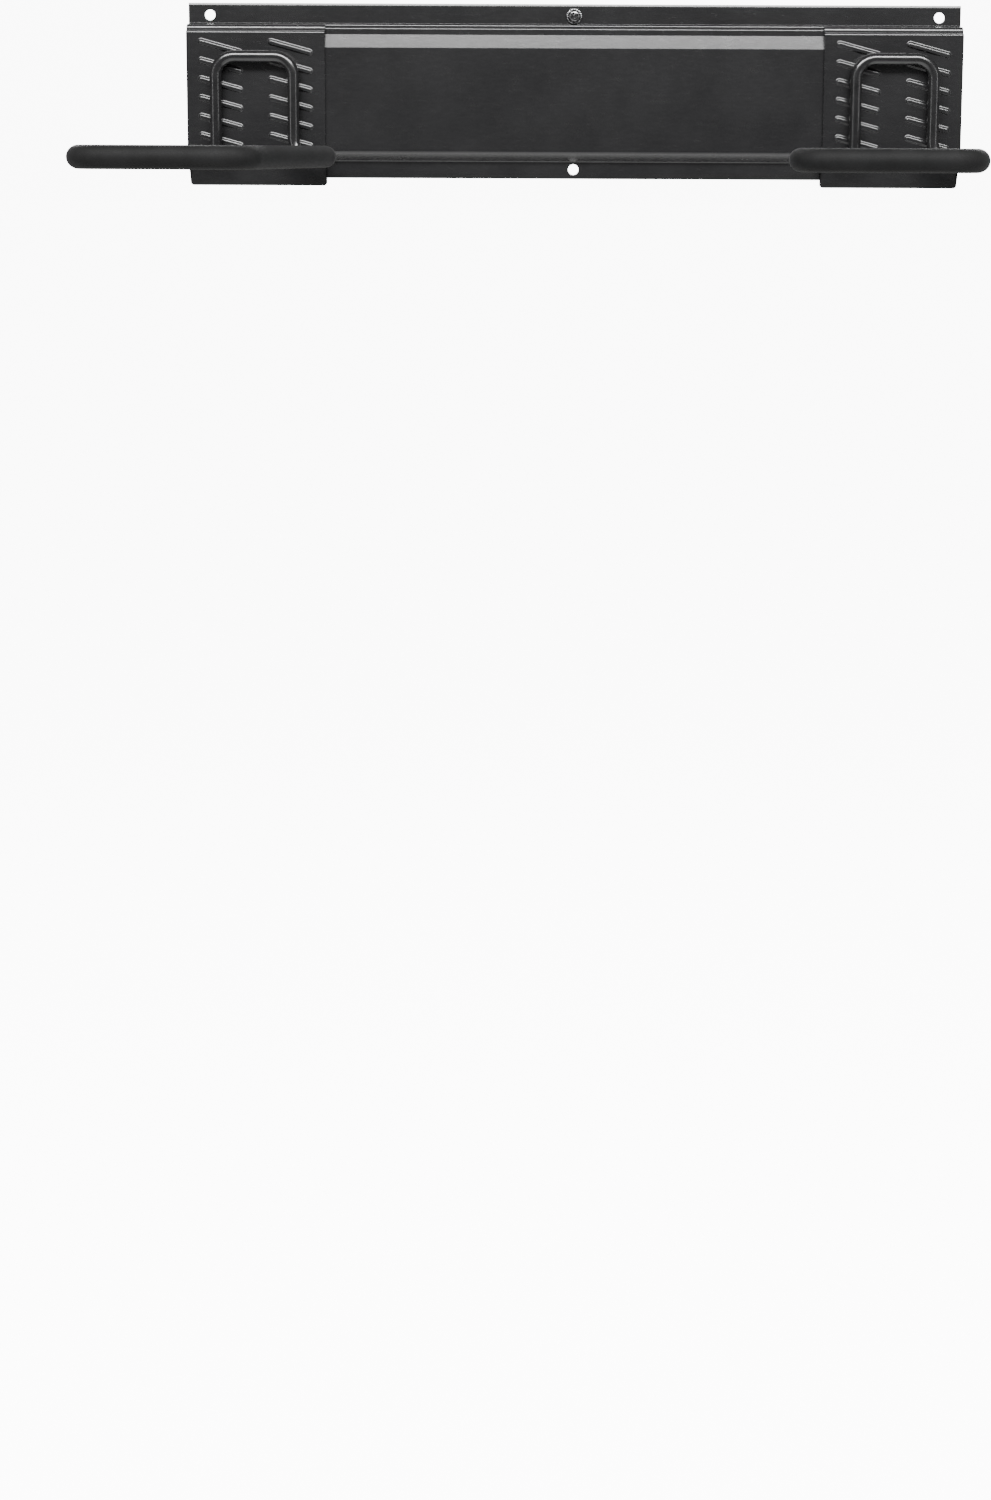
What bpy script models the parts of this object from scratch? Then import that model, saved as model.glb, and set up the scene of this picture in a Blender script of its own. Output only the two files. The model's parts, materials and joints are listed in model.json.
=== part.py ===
"""Wall rack for two bicycles: a roll-formed steel rail and two sliding hooks with foam-covered arms.

Frame: X along the rail, -Y out of the wall towards the room, +Z up. The origin is on the wall plane,
at the middle of the rail's length and height. All the sizes below are in millimetres.
"""

import math

import bmesh
import bpy
from mathutils import Matrix, Vector

MM = 0.001
GAP = 0.3  # clearance between pieces that touch
BEND_STEPS = 3  # facets in a sheet-metal bend
ROD_STEPS = 5  # facets in a rod bend
ROD_SIDES = 12
HOLE_SIDES = 24

# Rail
RAIL_LENGTH = 650.0
RAIL_HEIGHT = 147.0
RAIL_SHEET = 1.5
RAIL_FACE = 12.0  # how far the raised face stands out of the wall
TOP_FLANGE = 17.0  # flat against the wall, above the channel
BOTTOM_FLANGE = 15.0
LIP_DROP = 20.3  # from the rail's top edge down to the lip that the hooks hang on
CHANNEL_DEPTH = 9.2
CHANNEL_PLAY = 0.5  # room on each side of the plate's lip
FOLD_GAP = 0.3  # between the two layers of the folded lip
UPPER_BEVEL_DROP = (26.3, 37.4)  # start and end of the slope, from the top edge
LOWER_BEVEL_RISE = 7.6
BEVEL_RADIUS = 3.5
HOLE_RADIUS = 4.4
HOLE_INSET = 18.0  # from each end of the rail
TOP_HOLE_DROP = 10.1
BOTTOM_HOLE_RISE = 8.0

# Wall screw
SCREW_HEAD_RADIUS = 6.5
SCREW_HEAD_HEIGHT = 3.6
SCREW_SHANK_RADIUS = 3.0
SCREW_LENGTH = 45.0
SCREW_POINT = 6.0
CROSS_WIDTH = 1.3
CROSS_SPAN = 6.0
CROSS_DEPTH = 2.0

# Hook plate
PLATE_WIDTH = 116.0
PLATE_SHEET = 2.0
PLATE_TAIL = 6.5  # how far the tongue shows below the rail
PLATE_LEDGE_DROP = 4.0  # from the top of the rail's lip
PLATE_LIP_DEPTH = 6.5  # how far the lip reaches down behind the rail's lip
TONGUE_CORNER = 3.0
LEDGE_RADIUS = 1.2

# Tread ribs pressed into the plate
RIB_ROWS = 6
RIB_TOP_DROP = 37.0  # from the rail's top edge
RIB_BOTTOM_RISE = 32.0  # from the rail's bottom edge
RIB_X = 29.3
RIB_LENGTH = 40.0
RIB_WIDTH = 6.8
RIB_HEIGHT = 1.2
RIB_TILT = math.radians(-15.2)

# Hook rod
ROD_RADIUS = 5.0
LEG_X = 32.4
BAR_DROP = 45.1  # from the rail's top edge
BAR_CORNER = 16.0
LEFT_LEG_END_RISE = 15.5  # from the rail's bottom edge
ELBOW_RADIUS = 15.0
ARM_ROOT_RISE = 18.8  # from the rail's bottom edge
ARM_RISE = 0.0265  # climb of the arm for each millimetre out of the wall
ARM_REACH = 203.0  # of the front run's middle line
FLARE = (65.5, 37.0)  # corner where the arm stops spreading: sideways, out of the wall
FLARE_RADIUS = 20.0
FRONT_X = (22.0, -106.0)  # corners of the front run, which sits askew to the plate
FRONT_RADIUS = 20.0
TIP_X = -99.2
TIP_RETURN = 45.0  # how far the tip turns back towards the wall

# Foam sleeve and end cap
FOAM_RADIUS = 9.0
FOAM_START = 3.0  # bare rod between the elbow and the sleeve
CAP_LENGTH = 9.0
CAP_BORE_DEPTH = 5.0

# Weld beads that hold the rod on the plate
WELD_RADIUS = 1.2
BAR_WELD_LENGTH = 12.0
LEG_WELD_LENGTH = 4.2
LEG_WELD_ROW = 4  # the leg welds lie below this rib, counted from the top one as 0

# Worked out from the sizes above
RAIL_TOP = RAIL_HEIGHT / 2
RAIL_BOTTOM = -RAIL_HEIGHT / 2
FOLD_RADIUS = (RAIL_SHEET + FOLD_GAP) / 2
CHANNEL_WIDTH = PLATE_SHEET + 2 * CHANNEL_PLAY
LIP_TOP_Z = RAIL_TOP - LIP_DROP
LOWER_BEVEL_END_Z = RAIL_BOTTOM + BOTTOM_FLANGE
LOWER_BEVEL_START_Z = LOWER_BEVEL_END_Z + LOWER_BEVEL_RISE
TOP_HOLE_Z = RAIL_TOP - TOP_HOLE_DROP
BOTTOM_HOLE_Z = RAIL_BOTTOM + BOTTOM_HOLE_RISE
SIDE_HOLE_X = RAIL_LENGTH / 2 - HOLE_INSET
RIB_TOP_Z = RAIL_TOP - RIB_TOP_DROP
RIB_PITCH = (RIB_TOP_Z - RAIL_BOTTOM - RIB_BOTTOM_RISE) / (RIB_ROWS - 1)
BAR_Z = RAIL_TOP - BAR_DROP
ARM_ROOT_Z = RAIL_BOTTOM + ARM_ROOT_RISE
PLATE_BACK = RAIL_FACE + GAP
PLATE_FRONT = PLATE_BACK + PLATE_SHEET
ROD_DEPTH = PLATE_FRONT + RIB_HEIGHT + GAP + ROD_RADIUS
HOOK_X = RAIL_LENGTH / 2 - PLATE_WIDTH / 2
HOOKS = {"left": -HOOK_X, "right": HOOK_X}


def material(name, colour, roughness, metallic):
    """A plain Principled material."""
    made = bpy.data.materials.new(name)
    made.use_nodes = True
    shader = made.node_tree.nodes["Principled BSDF"]
    shader.inputs["Base Color"].default_value = (*colour, 1.0)
    shader.inputs["Roughness"].default_value = roughness
    shader.inputs["Metallic"].default_value = metallic
    return made


def add_object(name, shape, finish, centre=(0.0, 0.0, 0.0)):
    """An object from a bmesh in millimetres, placed at a point in millimetres."""
    bmesh.ops.scale(shape, vec=(MM, MM, MM), verts=shape.verts)
    bmesh.ops.recalc_face_normals(shape, faces=shape.faces)
    mesh = bpy.data.meshes.new(name)
    shape.to_mesh(mesh)
    shape.free()
    made = bpy.data.objects.new(name, mesh)
    made.location = Vector(centre) * MM
    bpy.context.collection.objects.link(made)
    if finish:
        mesh.materials.append(finish)
        mesh.shade_smooth()
        mesh.set_sharp_from_angle(angle=math.radians(35))
    return made


def hide_cutter(cutter):
    """Marks an object as a tool of a Boolean and not a piece of the rack."""
    cutter.hide_render = True
    cutter.display_type = "WIRE"


def boolean(target, tool, operation):
    """Cuts or joins a tool object with the target."""
    hide_cutter(tool)
    step = target.modifiers.new(tool.name, "BOOLEAN")
    step.operation = operation
    step.solver = "EXACT"
    step.object = tool


def rounded_path(corners, radii, steps):
    """The corner points joined by straight runs, with each inner corner rounded to its radius.

    Two bends that meet, as in a sheet folded back on itself, share one point.
    """
    points = [Vector(corners[0])]
    for before, corner, after, radius in zip(corners, corners[1:], corners[2:], radii):
        corner = Vector(corner)
        back = (Vector(before) - corner).normalized()
        ahead = (Vector(after) - corner).normalized()
        half_angle = back.angle(ahead) / 2
        run = radius / math.tan(half_angle)
        centre = corner + (back + ahead).normalized() * (radius / math.sin(half_angle))
        start = corner + back * run - centre
        turn = math.pi - 2 * half_angle
        axis = back.cross(ahead).normalized()
        for step in range(steps + 1):
            point = centre + Matrix.Rotation(-turn * step / steps, 3, axis) @ start
            if (point - points[-1]).length > GAP / 10:
                points.append(point)
    points.append(Vector(corners[-1]))
    return points


def sheet_outline(path, thickness):
    """The closed outline, as (y, z) pairs, of a sheet bent along a path of its middle surface."""
    left, right = [], []
    for index, point in enumerate(path):
        tangents = []
        if index > 0:
            tangents.append((point - path[index - 1]).normalized())
        if index < len(path) - 1:
            tangents.append((path[index + 1] - point).normalized())
        tangent = sum(tangents, Vector()).normalized()
        normal = Vector((0.0, -tangent.z, tangent.y))
        reach = thickness / 2 / max(0.5, tangent.dot(tangents[0]))
        left.append(point + normal * reach)
        right.append(point - normal * reach)
    return [(p.y, p.z) for p in left + right[::-1]]


def extrude_outline(outline, x_start, x_end):
    """A bmesh prism along X from a closed (y, z) outline."""
    made = bmesh.new()
    ring = [made.verts.new((x_start, y, z)) for y, z in outline]
    face = made.faces.new(ring)
    pulled = bmesh.ops.extrude_face_region(made, geom=[face])
    moved = [part for part in pulled["geom"] if isinstance(part, bmesh.types.BMVert)]
    bmesh.ops.translate(made, vec=(x_end - x_start, 0.0, 0.0), verts=moved)
    return made


def cylinder(radius, length, sides, centre):
    """A bmesh cylinder about a Y axis."""
    made = bmesh.new()
    place = Matrix.Translation(Vector(centre)) @ Matrix.Rotation(math.pi / 2, 4, "X")
    bmesh.ops.create_cone(
        made, cap_ends=True, segments=sides, radius1=radius, radius2=radius, depth=length, matrix=place
    )
    return made


def path_frames(path):
    """A tangent and two cross directions at each point of a path, carried along without twist."""
    frames = []
    side = None
    for index, point in enumerate(path):
        ahead = path[min(index + 1, len(path) - 1)] - point
        behind = point - path[max(index - 1, 0)]
        tangent = (ahead.normalized() + behind.normalized()).normalized()
        if side is None:
            side = tangent.orthogonal().normalized()
        side = (side - tangent * side.dot(tangent)).normalized()
        frames.append((point, tangent, side, tangent.cross(side)))
    return frames


def tube(frames, outer_radius, inner_radius=0.0, sides=ROD_SIDES):
    """A bmesh rod along a path's frames, or a sleeve when it has an inner radius."""
    made = bmesh.new()

    def wall(radius):
        rings = []
        for point, _, side, up in frames:
            ring = []
            for index in range(sides):
                angle = 2 * math.pi * index / sides
                ring.append(made.verts.new(point + (side * math.cos(angle) + up * math.sin(angle)) * radius))
            rings.append(ring)
        for first, second in zip(rings, rings[1:]):
            for index in range(sides):
                after = (index + 1) % sides
                made.faces.new((first[index], first[after], second[after], second[index]))
        return rings

    outer = wall(outer_radius)
    if inner_radius:
        inner = wall(inner_radius)
        for end in (0, -1):
            for index in range(sides):
                after = (index + 1) % sides
                made.faces.new((outer[end][index], outer[end][after], inner[end][after], inner[end][index]))
    else:
        made.faces.new(outer[0])
        made.faces.new(outer[-1])
    return made


def turned(profile, sides, place):
    """A bmesh solid turned about Z from (radius, z) pairs that start and end on the axis."""
    made = bmesh.new()
    verts = [made.verts.new((radius, 0.0, z)) for radius, z in profile]
    edges = [made.edges.new(pair) for pair in zip(verts, verts[1:])]
    bmesh.ops.spin(
        made, geom=verts + edges, axis=(0, 0, 1), cent=(0, 0, 0), angle=2 * math.pi, steps=sides, use_merge=True
    )
    bmesh.ops.remove_doubles(made, verts=made.verts, dist=1e-4)
    bmesh.ops.transform(made, matrix=place, verts=made.verts)
    return made


def capsule(length, radius, place, height_scale=1.0):
    """A bmesh capsule lying along X, with its Y squashed by height_scale."""
    made = bmesh.new()
    bmesh.ops.create_uvsphere(made, u_segments=10, v_segments=6, radius=radius)
    bmesh.ops.rotate(made, cent=(0, 0, 0), matrix=Matrix.Rotation(math.pi / 2, 3, "Y"), verts=made.verts)
    cap_gap = length / 2 - radius
    middle = [vert for vert in made.verts if abs(vert.co.x) < radius * 0.01]
    for vert in made.verts:
        if vert not in middle:
            vert.co.x += math.copysign(cap_gap, vert.co.x)
    bmesh.ops.scale(made, vec=(1.0, height_scale, 1.0), verts=made.verts)
    bmesh.ops.transform(made, matrix=place, verts=made.verts)
    return made


def join(parts):
    """One bmesh that holds several."""
    whole = bmesh.new()
    for part in parts:
        mesh = bpy.data.meshes.new("part")
        part.to_mesh(mesh)
        part.free()
        whole.from_mesh(mesh)
        bpy.data.meshes.remove(mesh)
    return whole


def in_section(*pairs):
    """Points in the YZ section from (distance out of the wall, height) pairs."""
    return [Vector((0.0, -out, height)) for out, height in pairs]


def rail_path():
    """The rail's middle surface, from its top edge down to its bottom edge."""
    half = RAIL_SHEET / 2
    channel_back = half + RAIL_SHEET
    lip_back = channel_back + RAIL_SHEET + CHANNEL_WIDTH
    lip_front = lip_back + 2 * FOLD_RADIUS
    lip_top = LIP_TOP_Z - half
    channel_floor = LIP_TOP_Z - CHANNEL_DEPTH
    joggle = RAIL_TOP - TOP_FLANGE
    face = RAIL_FACE - half
    corners = in_section(
        (half, RAIL_TOP),
        (half, joggle),
        (channel_back, joggle - RAIL_SHEET),
        (channel_back, channel_floor),
        (lip_back, channel_floor),
        (lip_back, lip_top),
        (lip_front, lip_top),
        (lip_front, RAIL_TOP - UPPER_BEVEL_DROP[0]),
        (face, RAIL_TOP - UPPER_BEVEL_DROP[1]),
        (face, LOWER_BEVEL_START_Z),
        (half, LOWER_BEVEL_END_Z),
        (half, RAIL_BOTTOM),
    )
    small = RAIL_SHEET * 0.7
    fold = FOLD_RADIUS * 0.999
    floor = CHANNEL_WIDTH / 2
    radii = (small, small, floor, floor, fold, fold, small, BEVEL_RADIUS, BEVEL_RADIUS, BEVEL_RADIUS)
    return rounded_path(corners, radii, BEND_STEPS)


def make_rail(finish):
    """The rail, cut to length and punched for its four wall screws."""
    body = extrude_outline(sheet_outline(rail_path(), RAIL_SHEET), -RAIL_LENGTH / 2, RAIL_LENGTH / 2)
    rail = add_object("rail", body, finish)
    holes = [(-SIDE_HOLE_X, TOP_HOLE_Z), (0.0, TOP_HOLE_Z), (SIDE_HOLE_X, TOP_HOLE_Z), (0.0, BOTTOM_HOLE_Z)]
    punches = [cylinder(HOLE_RADIUS, 10 * RAIL_SHEET, HOLE_SIDES, (x, 0.0, z)) for x, z in holes]
    boolean(rail, add_object("hole_punch", join(punches), None), "DIFFERENCE")
    return rail


def make_screw(finish):
    """The pan-head screw in the rail's top middle hole, its shank going back into the wall."""
    seat = -(RAIL_SHEET + GAP)
    dome = [(SCREW_HEAD_RADIUS, 0.0), (SCREW_HEAD_RADIUS, 0.4 * SCREW_HEAD_HEIGHT)]
    dome += [(0.86 * SCREW_HEAD_RADIUS, 0.78 * SCREW_HEAD_HEIGHT), (0.55 * SCREW_HEAD_RADIUS, SCREW_HEAD_HEIGHT)]
    dome += [(0.0, SCREW_HEAD_HEIGHT)]
    point = [(0.0, -SCREW_LENGTH), (SCREW_SHANK_RADIUS, SCREW_POINT - SCREW_LENGTH), (SCREW_SHANK_RADIUS, 0.0)]
    place = Matrix.Translation((0.0, seat, TOP_HOLE_Z)) @ Matrix.Rotation(math.pi / 2, 4, "X")
    screw = add_object("mounting_screw", turned(point + dome, HOLE_SIDES, place), finish)
    slots = []
    for width, height in ((CROSS_SPAN, CROSS_WIDTH), (CROSS_WIDTH, CROSS_SPAN)):
        slot = bmesh.new()
        bmesh.ops.create_cube(slot, size=1.0)
        bmesh.ops.scale(slot, vec=(width, 2 * CROSS_DEPTH, height), verts=slot.verts)
        bmesh.ops.translate(slot, vec=(0.0, seat - SCREW_HEAD_HEIGHT, TOP_HOLE_Z), verts=slot.verts)
        slots.append(slot)
    for name, slot in zip(("slot_across", "slot_upright"), slots):
        boolean(screw, add_object(name, slot, None), "DIFFERENCE")
    return screw


def plate_path():
    """The hook plate's middle surface, from the lip inside the rail's channel down to the tongue.

    Its lower bevel runs beside the rail's, one clearance off it.
    """
    half = PLATE_SHEET / 2
    channel_back = 2 * RAIL_SHEET
    lip_back = channel_back + CHANNEL_WIDTH / 2
    strip = channel_back + CHANNEL_WIDTH + RAIL_SHEET + 2 * FOLD_RADIUS + GAP + half
    top = LIP_TOP_Z + GAP + half
    ledge = LIP_TOP_Z - PLATE_LEDGE_DROP
    offset = RAIL_SHEET / 2 + GAP + half
    slope = math.atan2(RAIL_FACE - RAIL_SHEET, LOWER_BEVEL_RISE)
    drop = offset * math.tan(slope / 2)
    corners = in_section(
        (lip_back, LIP_TOP_Z - PLATE_LIP_DEPTH),
        (lip_back, top),
        (strip, top),
        (strip, ledge + half / 2),
        (PLATE_BACK + half, ledge - half / 2),
        (PLATE_BACK + half, LOWER_BEVEL_START_Z - drop),
        (RAIL_SHEET + GAP + half, LOWER_BEVEL_END_Z - drop),
        (RAIL_SHEET + GAP + half, RAIL_BOTTOM - PLATE_TAIL),
    )
    over = (strip - lip_back) / 2 * 0.999
    radii = (over, over, LEDGE_RADIUS, LEDGE_RADIUS, BEVEL_RADIUS + offset, BEVEL_RADIUS - offset)
    return rounded_path(corners, radii, BEND_STEPS)


def rib_places():
    """Centre (x, z) of each pressed rib, two columns down the plate."""
    for row in range(RIB_ROWS):
        for side in (-1, 1):
            yield side * RIB_X, RIB_TOP_Z - row * RIB_PITCH


def make_plate(name, x, finish):
    """A hook plate with its tread ribs and rounded tongue corners."""
    body = extrude_outline(sheet_outline(plate_path(), PLATE_SHEET), -PLATE_WIDTH / 2, PLATE_WIDTH / 2)
    plate = add_object(name, body, finish, (x, 0.0, 0.0))
    ribs = []
    sunk = PLATE_SHEET / 6
    squash = (RIB_HEIGHT + sunk) / (RIB_WIDTH / 2)
    for rib_x, rib_z in rib_places():
        place = Matrix.Translation((rib_x, sunk - PLATE_FRONT, rib_z)) @ Matrix.Rotation(-RIB_TILT, 4, "Y")
        ribs.append(capsule(RIB_LENGTH, RIB_WIDTH / 2, place, squash))
    boolean(plate, add_object(f"{name}_ribs", join(ribs), None, (x, 0.0, 0.0)), "UNION")
    corners = []
    for side in (-1, 1):
        block = bmesh.new()
        bmesh.ops.create_cube(block, size=1.0)
        bmesh.ops.scale(block, vec=(2 * TONGUE_CORNER, 12.0, 2 * TONGUE_CORNER), verts=block.verts)
        turn = Matrix.Rotation(math.pi / 4, 4, "Y")
        corner = Vector((side * PLATE_WIDTH / 2, 0.0, RAIL_BOTTOM - PLATE_TAIL))
        out = Vector((side, 0.0, -1.0)).normalized() * TONGUE_CORNER * 0.42
        bmesh.ops.transform(block, matrix=Matrix.Translation(corner + out) @ turn, verts=block.verts)
        corners.append(block)
    boolean(plate, add_object(f"{name}_corners", join(corners), None, (x, 0.0, 0.0)), "DIFFERENCE")
    return plate


def arm_point(x, out):
    """A point of the arm, which climbs a little as it leaves the wall."""
    return Vector((x, -out, ARM_ROOT_Z + ARM_RISE * (out - ROD_DEPTH)))


def rod_frames():
    """The frames along the whole rod, and the stretch of them that the foam covers."""
    corners = [
        Vector((-LEG_X, -ROD_DEPTH, RAIL_BOTTOM + LEFT_LEG_END_RISE)),
        Vector((-LEG_X, -ROD_DEPTH, BAR_Z)),
        Vector((LEG_X, -ROD_DEPTH, BAR_Z)),
        arm_point(LEG_X, ROD_DEPTH),
        arm_point(*FLARE),
        arm_point(FRONT_X[0], ARM_REACH),
        arm_point(FRONT_X[1], ARM_REACH),
        arm_point(TIP_X, ARM_REACH - TIP_RETURN),
    ]
    radii = (BAR_CORNER, BAR_CORNER, ELBOW_RADIUS, FLARE_RADIUS, FRONT_RADIUS, FRONT_RADIUS)
    path = rounded_path(corners, radii, ROD_STEPS)
    bends_before_foam = 3
    elbow_end = bends_before_foam * (ROD_STEPS + 1)
    away = (path[elbow_end + 1] - path[elbow_end]).normalized()
    back = (path[-2] - path[-1]).normalized()
    path.insert(elbow_end + 1, path[elbow_end] + away * FOAM_START)
    path.insert(-1, path[-1] + back * (CAP_BORE_DEPTH + GAP))
    frames = path_frames(path)
    return frames, frames[elbow_end + 1 : -1]


def make_hook(side, x, steel, foam_finish, plastic):
    """The pieces that make one hook."""
    make_plate(f"{side}_hook_plate", x, steel)
    whole, sleeve = rod_frames()
    add_object(f"{side}_hook_rod", tube(whole, ROD_RADIUS), steel, (x, 0.0, 0.0))
    add_object(f"{side}_foam_sleeve", tube(sleeve, FOAM_RADIUS, ROD_RADIUS + GAP), foam_finish, (x, 0.0, 0.0))
    make_cap(f"{side}_end_cap", x, whole[-1], plastic)
    make_welds(side, x, steel)


def make_cap(name, x, end_frame, finish):
    """The moulded cap pushed on the rod's free end."""
    end, along, _, _ = end_frame
    bore = ROD_RADIUS + GAP
    mouth = GAP - CAP_BORE_DEPTH
    profile = [(0.0, GAP), (bore, GAP), (bore, mouth), (FOAM_RADIUS, mouth)]
    dome_length = CAP_LENGTH - CAP_BORE_DEPTH
    for step in range(5):
        angle = math.pi / 2 * step / 4
        profile.append((FOAM_RADIUS * math.cos(angle), GAP + dome_length * math.sin(angle)))
    profile[-1] = (0.0, GAP + dome_length)
    place = Matrix.Translation(end) @ along.to_track_quat("Z", "Y").to_matrix().to_4x4()
    add_object(name, turned(profile, ROD_SIDES, place), finish, (x, 0.0, 0.0))


def make_welds(side, x, finish):
    """Weld beads above and below the top bar, and between two ribs on both sides of each leg."""
    out = PLATE_FRONT + WELD_RADIUS + GAP
    drop = ROD_DEPTH - out
    offset = math.sqrt((ROD_RADIUS + WELD_RADIUS + GAP) ** 2 - drop**2)
    for word, way in (("lower", -1), ("upper", 1)):
        place = Matrix.Translation((0.0, -out, BAR_Z + way * offset))
        bead = capsule(BAR_WELD_LENGTH, WELD_RADIUS, place)
        add_object(f"{side}_weld_bar_{word}", bead, finish, (x, 0.0, 0.0))
    upright = Matrix.Rotation(math.pi / 2, 4, "Y")
    between = RIB_TOP_Z - (LEG_WELD_ROW + 0.5) * RIB_PITCH
    for leg_word, leg in (("left", -1), ("right", 1)):
        for word, way in (("outer", leg), ("inner", -leg)):
            weld_x = leg * LEG_X + way * offset
            slope = math.tan(RIB_TILT) * (weld_x - leg * RIB_X)
            place = Matrix.Translation((weld_x, -out, between + slope)) @ upright
            bead = capsule(LEG_WELD_LENGTH, WELD_RADIUS, place)
            add_object(f"{side}_weld_{leg_word}_leg_{word}", bead, finish, (x, 0.0, 0.0))


def main():
    for item in list(bpy.data.objects):
        bpy.data.objects.remove(item)
    steel = material("black_powder_coat", (0.018, 0.018, 0.019), 0.42, 0.0)
    screw_steel = material("screw_steel", (0.45, 0.45, 0.46), 0.3, 1.0)
    foam = material("black_foam", (0.014, 0.014, 0.014), 0.75, 0.0)
    plastic = material("black_plastic", (0.016, 0.016, 0.016), 0.5, 0.0)
    make_rail(steel)
    make_screw(screw_steel)
    for side, x in HOOKS.items():
        make_hook(side, x, steel, foam, plastic)


main()
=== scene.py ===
"""The looks of the two-bicycle wall rack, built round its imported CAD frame.

Shapes are drawn in millimetres and scaled to metres as each piece is finished; the studio is in metres.
The axes are the CAD model's: X along the rail, -Y out of the wall, +Z up.
"""

import json
import math

import bmesh
import bpy
from mathutils import Matrix, Vector
from mathutils.geometry import delaunay_2d_cdt

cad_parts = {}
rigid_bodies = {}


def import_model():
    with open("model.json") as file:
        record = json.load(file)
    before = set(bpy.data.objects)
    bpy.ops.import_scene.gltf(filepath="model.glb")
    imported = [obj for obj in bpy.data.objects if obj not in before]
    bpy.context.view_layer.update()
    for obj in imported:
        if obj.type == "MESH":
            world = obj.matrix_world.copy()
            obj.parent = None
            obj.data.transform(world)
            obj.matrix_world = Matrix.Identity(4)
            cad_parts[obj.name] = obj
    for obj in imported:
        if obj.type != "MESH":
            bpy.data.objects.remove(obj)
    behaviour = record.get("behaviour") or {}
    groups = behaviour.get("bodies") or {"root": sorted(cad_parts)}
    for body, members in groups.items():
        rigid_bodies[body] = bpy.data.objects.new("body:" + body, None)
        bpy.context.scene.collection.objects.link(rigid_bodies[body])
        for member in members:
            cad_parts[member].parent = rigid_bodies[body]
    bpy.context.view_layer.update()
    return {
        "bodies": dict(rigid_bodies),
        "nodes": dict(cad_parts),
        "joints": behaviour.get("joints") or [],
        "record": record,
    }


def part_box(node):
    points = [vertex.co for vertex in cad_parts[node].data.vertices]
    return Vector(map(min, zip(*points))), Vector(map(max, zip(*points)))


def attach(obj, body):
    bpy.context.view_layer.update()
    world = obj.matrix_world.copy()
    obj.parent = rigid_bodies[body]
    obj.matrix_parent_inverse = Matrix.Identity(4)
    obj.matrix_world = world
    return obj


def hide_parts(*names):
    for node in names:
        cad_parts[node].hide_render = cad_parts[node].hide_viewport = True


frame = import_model()

MM = 0.001
SIDES = ("left", "right")

# Overall sizes, read from the CAD boxes, in millimetres
RAIL_LOW, RAIL_HIGH = (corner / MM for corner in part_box("rail"))
RAIL_TOP, RAIL_BOTTOM = RAIL_HIGH.z, RAIL_LOW.z
HALF_LENGTH = RAIL_HIGH.x
RAIL_FACE = -RAIL_LOW.y
PLATE_BOXES = {side: [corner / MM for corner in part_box(f"{side}_hook_plate")] for side in SIDES}
HOOK_X = {side: (low.x + high.x) / 2 for side, (low, high) in PLATE_BOXES.items()}
PLATE_WIDTH = PLATE_BOXES["left"][1].x - PLATE_BOXES["left"][0].x
PLATE_BOTTOM = PLATE_BOXES["left"][0].z

# Sheet metal
GAP = 0.3
RAIL_SHEET = 1.5
PLATE_SHEET = 2.0
BEND_STEPS = 9
SAME_POINT = 0.02  # bends that meet share points closer than this
TOP_FLANGE = 17.0
LIP_TOP = RAIL_TOP - 20.3
CHANNEL_FLOOR = LIP_TOP - 9.2
CHANNEL_WIDTH = 3.0
FOLD_RADIUS = 0.9
UPPER_BEVEL = (RAIL_TOP - 26.3, RAIL_TOP - 37.4)
LOWER_BEVEL_END = RAIL_BOTTOM + 15.0
LOWER_BEVEL_START = LOWER_BEVEL_END + 7.6
BEVEL_RADIUS = 2.5
COINED_EDGE = 2.1  # height of the thinned edge along the top of the rail
EDGE_ROUND = 0.3
EDGE_STEPS = 3
HOLE_RADIUS = 4.4
HOLE_RIM = 0.9
HOLE_RIM_DEPTH = 0.495
HOLE_RIM_STEPS = 6
ROUND_SIDES = 64  # of the screw holes and the screw
HOLES = [(-307.0, 63.4), (0.0, 63.4), (307.0, 63.4), (0.0, -65.5)]
LEDGE_DROP = 4.0
LIP_DEPTH = 6.5
LEDGE_RADIUS = 1.0
TONGUE_CORNER = 3.0
PLATE_BACK = RAIL_FACE + GAP
PLATE_FRONT = PLATE_BACK + PLATE_SHEET

# Tread ribs
RIB_ROWS = 6
RIB_TOP = RAIL_TOP - 37.0
RIB_PITCH = 15.6
RIB_X = 29.3
RIB_LENGTH = 40.0
RIB_HALF_WIDTH = 3.4
RIB_HEIGHT = 1.4
RIB_UPPER_SLOPE = 3.7  # width of the long slope on the upper side
RIB_LOWER_DROP = 1.7  # width of the steep drop on the lower side
RIB_TILT = math.radians(-15.2)
RIB_STEPS = 13
RIB_ROUND_STEPS = 14

# Rod, foam and cap
ROD_RADIUS = 5.0
ROD_CLEARANCE = 1.5  # from the plate's flat face to the rod
ROD_DEPTH = PLATE_FRONT + ROD_CLEARANCE + ROD_RADIUS
LEG_X = 32.4
BAR_Z = RAIL_TOP - 45.1
BAR_CORNER = 16.0
LEFT_LEG_END = RAIL_BOTTOM + 15.5
ELBOW_RADIUS = 15.0
ARM_ROOT = RAIL_BOTTOM + 18.8
ARM_RISE = 0.0265
ARM_REACH = 203.0
FLARE = (65.5, 37.0)  # corner where the arm stops spreading: sideways, out of the wall
ARM_RADIUS = 20.0
FRONT_X = (22.0, -106.0)  # corners of the front run
TIP_X = -99.2
TIP_RETURN = 45.0
ROD_STEPS = 20
ROD_SIDES = 40
ROD_RIM = 0.6
ROD_RIM_STEPS = 4
FOAM_RIM = 1.2
FOAM_RADIUS = 9.0
FOAM_START = 3.0
CAP_LENGTH = 9.0
CAP_BORE_DEPTH = 5.0
CAP_DOME_STEPS = 10

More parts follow.
